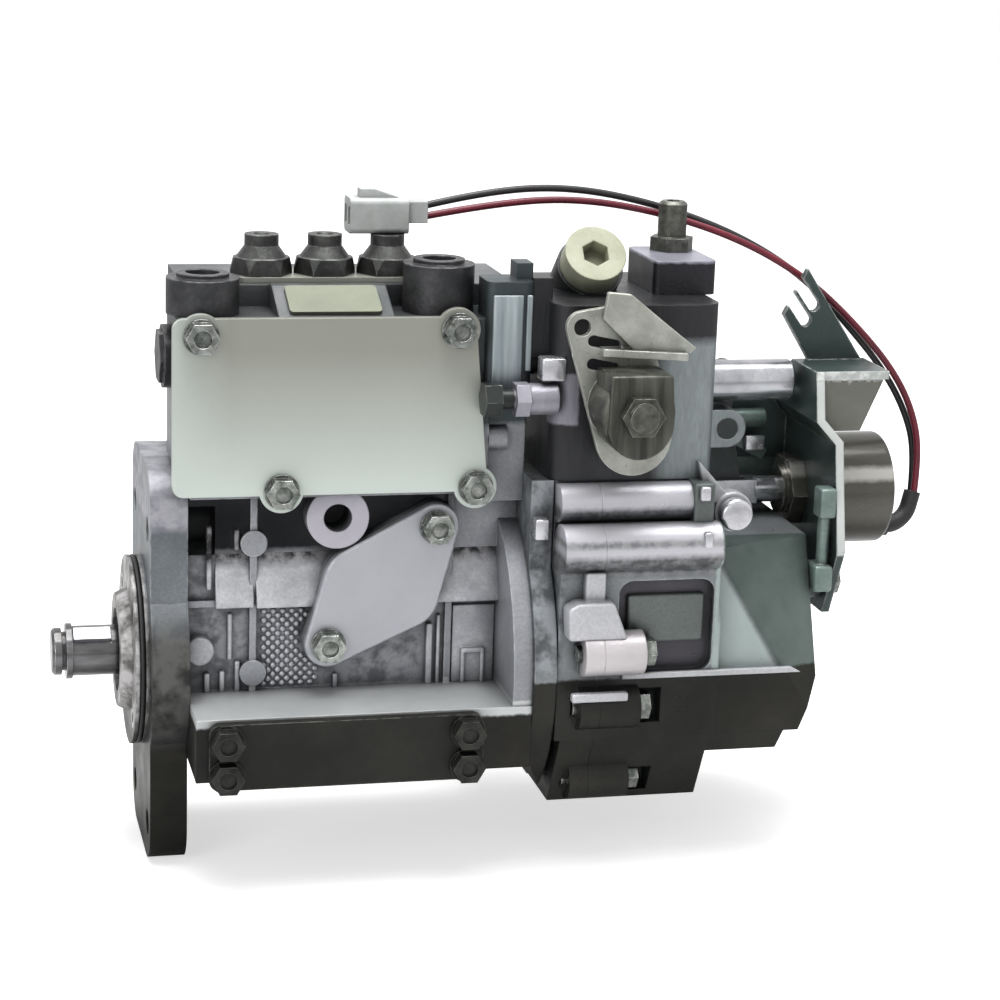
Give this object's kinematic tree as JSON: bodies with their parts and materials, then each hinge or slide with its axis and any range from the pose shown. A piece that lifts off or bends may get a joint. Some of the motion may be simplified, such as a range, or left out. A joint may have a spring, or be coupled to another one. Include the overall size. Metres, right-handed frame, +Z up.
{
  "type": "diesel injection pump",
  "caption": "In-line diesel injection pump with flanged drive end, camshaft, rack-metered elements, mechanical governor, speed lever, cable bracket and stop solenoid with lead.",
  "frame": {"origin": "centre of the camshaft at the mounting flange's face against the engine", "axes": "+X along the camshaft from the drive end to the governor, +Z up through the delivery fittings, -Y towards the side cover"},
  "size_m": [0.3286, 0.1453, 0.2382],
  "materials": {
    "cast_alloy": "die cast, satin",
    "zinc_plate": "zinc plated, satin",
    "gasket": "fibre gasket, matt",
    "name_plate": "blank anodised sheet",
    "fasteners": "bright zinc plated",
    "black_steel": "phosphated, dark",
    "machined_steel": "turned and ground",
    "bearing_steel": "polished",
    "spring_steel": "oiled spring wire",
    "solenoid_steel": "drawn steel can, yellowish zinc",
    "painted_sheet": "dark grey-green satin coat",
    "cream_plastic": "moulded, matt",
    "black_rubber": "matt",
    "red_insulation": "soft dark red insulation",
    "black_insulation": "soft black insulation",
    "white_plastic": "moulded nylon"
  },
  "bodies": {
    "pump": {"pump_body": "cast_alloy", "mounting_flange": "cast_alloy", "flange_screws": "fasteners", "pilot_o_ring": "black_rubber", "bearing_outer_rings": "bearing_steel", "shaft_oil_seal": "black_rubber", "side_cover_gasket": "gasket", "side_cover_plate": "zinc_plate", "oval_cover_gasket": "gasket", "oval_cover_plate": "cast_alloy", "cover_screws": "fasteners", "sump_cover": "cast_alloy", "sump_cover_screws": "fasteners", "tappets": "machined_steel", "plunger_springs": "spring_steel", "plunger_barrels": "machined_steel", "delivery_valves": "machined_steel", "delivery_valve_holder_1": "black_steel", "delivery_valve_holder_2": "black_steel", "delivery_valve_holder_3": "black_steel", "holder_lock_plate": "zinc_plate", "rack_end_cap": "black_steel", "fuel_inlet_eye": "black_steel", "fuel_outlet_eye": "black_steel", "name_plate": "name_plate", "governor_housing": "cast_alloy", "governor_cover": "cast_alloy", "governor_screws": "fasteners", "upper_case": "cast_alloy", "filler_cap": "cream_plastic", "top_block": "cast_alloy", "overflow_valve": "zinc_plate", "load_screw": "black_steel", "torque_limiter": "machined_steel", "cable_bracket": "painted_sheet", "bracket_screws": "fasteners", "solenoid_body": "solenoid_steel", "lead_sleeve": "black_rubber", "red_lead": "red_insulation", "black_lead": "black_insulation", "lead_connector": "white_plastic"},
    "camshaft": {"camshaft": "machined_steel", "camshaft_key": "machined_steel", "bearing_cores": "bearing_steel", "flyweight_carrier": "machined_steel"},
    "flyweight_top": {"flyweight_top": "machined_steel"},
    "flyweight_bottom": {"flyweight_bottom": "machined_steel"},
    "thrust_sleeve": {"thrust_sleeve": "machined_steel"},
    "control_rack": {"control_rack": "machined_steel"},
    "element_1": {"plunger_1": "bearing_steel", "control_sleeve_1": "machined_steel"},
    "element_2": {"plunger_2": "bearing_steel", "control_sleeve_2": "machined_steel"},
    "element_3": {"plunger_3": "bearing_steel", "control_sleeve_3": "machined_steel"},
    "governor_lever": {"governor_lever": "machined_steel"},
    "speed_lever": {"speed_lever": "zinc_plate", "speed_lever_shaft": "machined_steel"},
    "stop_lever": {"stop_lever": "black_steel"},
    "solenoid_plunger": {"solenoid_plunger": "machined_steel"}
  },
  "joints": [
    {"name": "camshaft_spin", "type": "hinge", "parent": "pump", "child": "camshaft", "pos_m": [0, 0, 0], "axis": [1, 0, 0], "continuous": true},
    {"name": "rack_slide", "type": "slide", "parent": "pump", "child": "control_rack", "axis": [1, 0, 0], "range_m": [-0.005, 0.005]},
    {"name": "governor_lever_swing", "type": "hinge", "parent": "pump", "child": "governor_lever", "pos_m": [0.174, 0, 0.05], "axis": [0, 1, 0], "range_deg": [-4.83, 4.83]},
    {"name": "thrust_sleeve_slide", "type": "slide", "parent": "camshaft", "child": "thrust_sleeve", "axis": [1, 0, 0], "range_m": [-0.00421, 0.00421]},
    {"name": "flyweight_top_swing", "type": "hinge", "parent": "camshaft", "child": "flyweight_top", "pos_m": [0.146, 0, 0.024], "axis": [0, 1, 0], "range_deg": [-18.56, 18.56]},
    {"name": "flyweight_bottom_swing", "type": "hinge", "parent": "camshaft", "child": "flyweight_bottom", "pos_m": [0.146, 0, -0.024], "axis": [0, 1, 0], "range_deg": [-18.56, 18.56]},
    {"name": "element_1_turn", "type": "hinge", "parent": "pump", "child": "element_1", "pos_m": [0.042, 0, 0.11], "axis": [0, 0, 1], "range_deg": [-18.09, 18.09]},
    {"name": "element_2_turn", "type": "hinge", "parent": "pump", "child": "element_2", "pos_m": [0.0644, 0, 0.11], "axis": [0, 0, 1], "range_deg": [-18.09, 18.09]},
    {"name": "element_3_turn", "type": "hinge", "parent": "pump", "child": "element_3", "pos_m": [0.0868, 0, 0.11], "axis": [0, 0, 1], "range_deg": [-18.09, 18.09]},
    {"name": "speed_lever_swing", "type": "hinge", "parent": "pump", "child": "speed_lever", "pos_m": [0.159, -0.048, 0.1], "axis": [0, 1, 0], "range_deg": [-18, 20]},
    {"name": "solenoid_stroke", "type": "slide", "parent": "pump", "child": "solenoid_plunger", "axis": [1, 0, 0], "range_m": [0, 0.008], "stiffness_N_per_m": 300, "springref_m": -0.002},
    {"name": "stop_lever_swing", "type": "hinge", "parent": "pump", "child": "stop_lever", "pos_m": [0.212, 0.002, 0.0805], "axis": [0, 1, 0], "range_deg": [-14.3, 0]}
  ],
  "couplings": [
    {"joint": "governor_lever_swing", "follows": "rack_slide", "rad_per_m": 16.667},
    {"joint": "thrust_sleeve_slide", "follows": "rack_slide", "ratio": -0.83333},
    {"joint": "flyweight_top_swing", "follows": "rack_slide", "rad_per_m": 64.103},
    {"joint": "flyweight_bottom_swing", "follows": "rack_slide", "rad_per_m": -64.103},
    {"joint": "element_1_turn", "follows": "rack_slide", "rad_per_m": 62.5},
    {"joint": "element_2_turn", "follows": "rack_slide", "rad_per_m": 62.5},
    {"joint": "element_3_turn", "follows": "rack_slide", "rad_per_m": 62.5},
    {"joint": "stop_lever_swing", "follows": "solenoid_stroke", "rad_per_m": -30.875}
  ]
}
